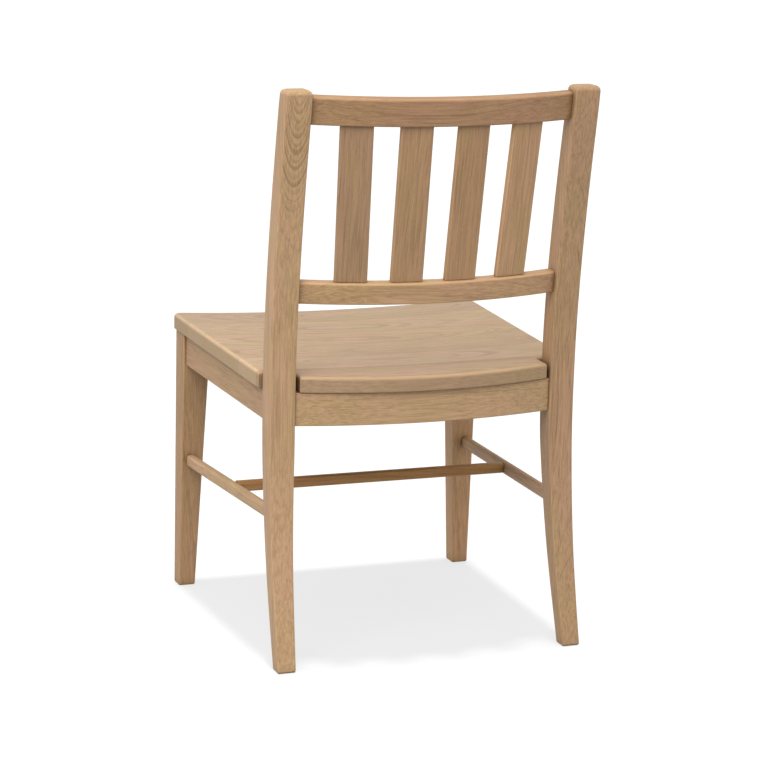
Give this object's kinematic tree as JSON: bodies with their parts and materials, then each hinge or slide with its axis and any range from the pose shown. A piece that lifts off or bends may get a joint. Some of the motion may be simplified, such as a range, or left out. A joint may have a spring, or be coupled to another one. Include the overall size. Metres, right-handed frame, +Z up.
{
  "type": "dining chair",
  "caption": "Wooden dining chair with a bowed slatted back, swept rear posts, a dished solid seat, tapered front legs and an H stretcher.",
  "frame": {"origin": "middle of the chair's box, on the floor", "axes": "+Z up, the sitter faces -Y, +X is the sitter's left"},
  "size_m": [0.5286, 0.5278, 0.876],
  "materials": {
    "frame_wood": "clear matt lacquer over light brown hardwood",
    "back_wood": "clear matt lacquer over light brown hardwood",
    "seat_wood": "clear matt lacquer over light brown hardwood",
    "block_wood": "sawn and left bare",
    "screw_steel": "zinc plated"
  },
  "bodies": {
    "root": {"rear_post_left": "frame_wood", "rear_post_right": "frame_wood", "front_leg_left": "frame_wood", "front_leg_right": "frame_wood", "front_apron": "frame_wood", "rear_apron": "frame_wood", "side_apron_left": "frame_wood", "side_apron_right": "frame_wood", "side_stretcher_left": "frame_wood", "side_stretcher_right": "frame_wood", "cross_stretcher": "frame_wood", "crest_rail": "back_wood", "lower_back_rail": "back_wood", "back_slat_1": "back_wood", "back_slat_2": "back_wood", "back_slat_3": "back_wood", "back_slat_4": "back_wood", "seat_stave_1": "seat_wood", "seat_stave_2": "seat_wood", "seat_stave_3": "seat_wood", "seat_stave_4": "seat_wood", "seat_stave_5": "seat_wood", "seat_stave_6": "seat_wood", "front_corner_block_left": "block_wood", "front_corner_block_right": "block_wood", "rear_corner_block_left": "block_wood", "rear_corner_block_right": "block_wood", "front_block_screw_1_left": "screw_steel", "front_block_screw_1_right": "screw_steel", "front_block_screw_2_left": "screw_steel", "front_block_screw_2_right": "screw_steel", "front_seat_screw_left": "screw_steel", "front_seat_screw_right": "screw_steel", "rear_block_screw_1_left": "screw_steel", "rear_block_screw_1_right": "screw_steel", "rear_block_screw_2_left": "screw_steel", "rear_block_screw_2_right": "screw_steel", "rear_seat_screw_left": "screw_steel", "rear_seat_screw_right": "screw_steel"}
  },
  "joints": []
}
